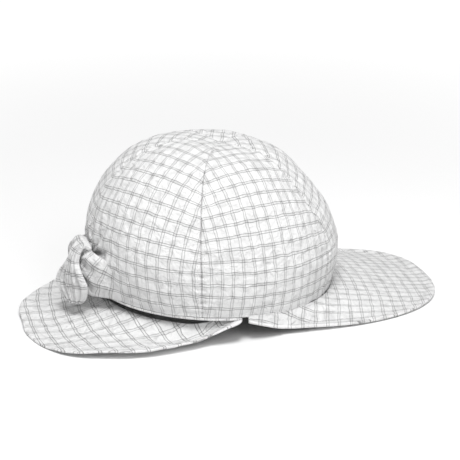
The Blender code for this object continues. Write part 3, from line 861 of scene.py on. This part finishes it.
def routePoint(route, share):
    points = [Vector(point) for point in route]
    spans = len(points) - 1
    place = min(share * spans, spans - 1e-6)
    index = int(place)
    part = place - index
    before, first = points[max(index - 1, 0)], points[index]
    second, after = points[index + 1], points[min(index + 2, spans)]
    return 0.5 * ((2 * first) + (second - before) * part
                  + (2 * before - 5 * first + 4 * second - after) * part ** 2
                  + (3 * first - before - 3 * second + after) * part ** 3)


def tieTail(name, look):
    knotAt = Vector((knot["middle"].x, -0.015, tailTop))

    def placeAt(across, along):
        width = mix(tail["topWidth"], tail["endWidth"], ease((along - 0.42) / 0.42))
        rounded = max(0.0, (along - 0.74) / 0.26)
        width *= 1 - 0.78 * rounded ** 2.8
        sideways = (look["start"] * (1 - along) + look["end"] * along).normalized()
        ahead = routePoint(look["route"], min(along + 0.01, 1)) - routePoint(look["route"], max(along - 0.01, 0))
        outward = sideways.cross(ahead).normalized()
        if outward.x > 0:
            outward = -outward
        offset = across - 0.5
        pleat = tail["pleatDepth"] * sin(offset * 2 * pi * tail["pleats"] + 0.6) * (1 - 0.45 * rounded)
        cup = -tail["cup"] * (2 * offset) ** 2 * ease(along * 1.5)
        soft = 0.0005 * wrinkle(Vector((across * 0.04, along * 0.06, 0)), 70, 13)
        return (routePoint(look["route"], along) + knotAt + sideways * offset * width
                + outward * (pleat + cup + soft))

    def patternAt(across, along):
        return ((across - 0.5) * 0.052 + 0.0046, along * 0.066 + 0.0046)

    piece = clothGrid(name + "_cloth", 44, 60, placeAt, patternAt, checkMaterial, tail["thick"], 0)
    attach(piece, look["body"])
    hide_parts(name)


for name, look in tails.items():
    tieTail(name, look)
print("tie ready")


# Floor, light and camera

studio = dict(azimuth=radians(-15), elevation=radians(21.2), distance=1.567, lens=145.0,
              target=Vector((-0.0012, -0.0039, 0.0636)), floorSize=12.0, world=0.455, keyPower=33.0, keySize=0.7,
              key=Vector((-0.20, -0.78, 1.92)), fillPower=9.5, fill=Vector((0.5, -1.5, 1.3)), glow=0.45)


def floorMaterial():
    material, shader, tool = newMaterial("studio_floor", 0.8, 0.0)
    point = tool.node("ShaderNodeTexCoord")
    cloud = Signal(tool.tree, tool.node("ShaderNodeTexNoise", None, Vector=Signal(tool.tree, point.outputs["Object"]),
                                        Scale=3.0).outputs[0])
    tone = tool.node("ShaderNodeMix", {"data_type": "RGBA"}, Factor=1 - cloud * 0.01, i6=(0, 0, 0, 1),
                     i7=(0.88, 0.88, 0.88, 1))
    tool.tree.links.new(tone.outputs[2], shader.inputs["Base Color"])
    # Painted light: the floor glows only away from the cap, from none inside 0.30 m to full beyond 1.3 m, so the far
    # floor shows white while the shade near the cap stays dark.
    away = tool.node("ShaderNodeVectorMath", {"operation": "LENGTH"}, i0=Signal(tool.tree, point.outputs["Object"]))
    near = Signal(tool.tree, away.outputs["Value"]).band(0.30, 1.3)
    glow = tool.node("ShaderNodeMix", {"data_type": "RGBA"}, Factor=near, i6=(1, 1, 1, 1), i7=(0, 0, 0, 1))
    tool.tree.links.new(glow.outputs[2], shader.inputs["Emission Color"])
    shader.inputs["Emission Strength"].default_value = studio["glow"]
    return material


form = bmesh.new()
bmesh.ops.create_grid(form, x_segments=1, y_segments=1, size=studio["floorSize"] / 2)
bmesh.ops.translate(form, verts=form.verts, vec=(0, 0, -0.0003))
floorMesh = bpy.data.meshes.new("floor")
form.to_mesh(floorMesh)
form.free()
floorMesh.materials.append(floorMaterial())
floor = bpy.data.objects.new("floor", floorMesh)
bpy.context.scene.collection.objects.link(floor)


def softLight(name, place, power, size):
    lamp = bpy.data.lights.new(name, "AREA")
    lamp.energy = power
    lamp.size = size
    holder = bpy.data.objects.new(name, lamp)
    holder.location = place
    holder.rotation_euler = (Vector((0, 0, 0.05)) - place).to_track_quat("-Z", "Y").to_euler()
    bpy.context.scene.collection.objects.link(holder)


softLight("key_light", studio["key"], studio["keyPower"], studio["keySize"])
softLight("fill_light", studio["fill"], studio["fillPower"], 1.0)

world = bpy.data.worlds.new("studio_world")
world.use_nodes = True
world.node_tree.nodes["Background"].inputs["Color"].default_value = (1, 1, 1, 1)
world.node_tree.nodes["Background"].inputs["Strength"].default_value = studio["world"]
bpy.context.scene.world = world
bpy.context.scene.view_settings.view_transform = "Standard"

back = Vector((sin(studio["azimuth"]) * cos(studio["elevation"]), -cos(studio["azimuth"]) * cos(studio["elevation"]),
               sin(studio["elevation"])))
cameraData = bpy.data.cameras.new("camera")
cameraData.lens = studio["lens"]
cameraData.sensor_width = 36
camera = bpy.data.objects.new("camera", cameraData)
camera.location = studio["target"] + back * studio["distance"]
camera.rotation_euler = (-back).to_track_quat("-Z", "Y").to_euler()
bpy.context.scene.collection.objects.link(camera)
bpy.context.scene.camera = camera
print("stage ready")
